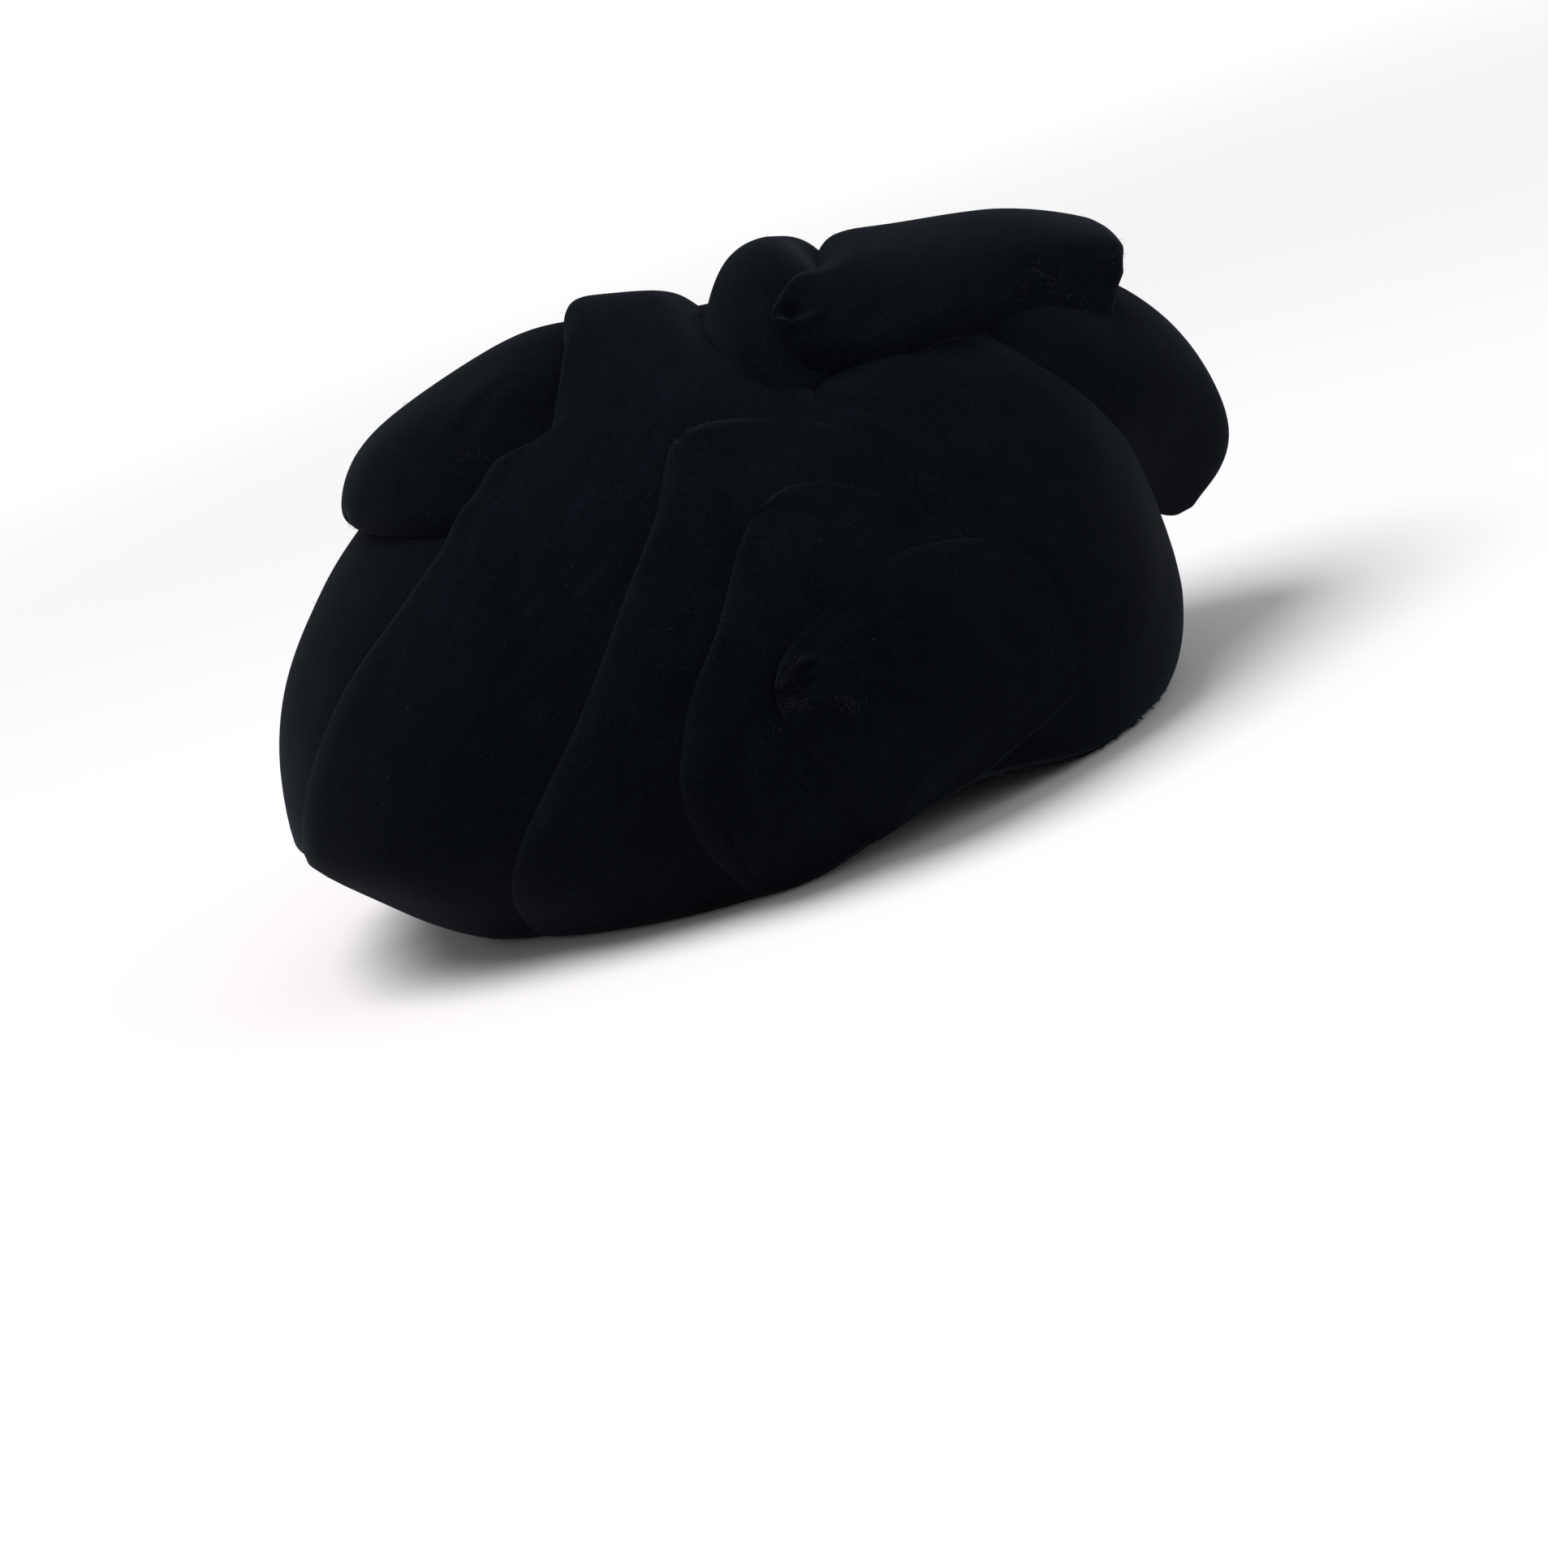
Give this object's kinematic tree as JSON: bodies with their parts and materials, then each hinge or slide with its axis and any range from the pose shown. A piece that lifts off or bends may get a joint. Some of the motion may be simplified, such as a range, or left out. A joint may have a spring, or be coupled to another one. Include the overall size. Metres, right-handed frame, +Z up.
{
  "type": "velvet petal fascinator hat",
  "caption": "Close cap covered in large lapped velvet petals, like an opened rose, with raised petals cresting the front and an open head hollow below.",
  "frame": {"origin": "on the surface the hat rests on, under the middle of its whole length and width", "axes": "+Z up, +X to the wearer's front, +Y to the wearer's left"},
  "size_m": [0.2522, 0.208, 0.1352],
  "materials": {
    "velvet": "deep pile velvet, near black with a blue cast",
    "lining": "dull woven cloth over a stiff cap"
  },
  "bodies": {
    "root": {"crown": "lining", "back_lower_petal": "velvet", "left_back_petal": "velvet", "left_top_petal": "velvet", "back_upper_petal": "velvet", "left_mid_petal": "velvet", "left_front_petal": "velvet", "left_ear_petal": "velvet", "right_back_petal": "velvet", "front_lower_petal": "velvet", "front_petal": "velvet", "right_mid_petal": "velvet", "crest_under_petal": "velvet", "crest_petal": "velvet", "right_front_petal": "velvet", "right_ear_petal": "velvet"}
  },
  "joints": []
}
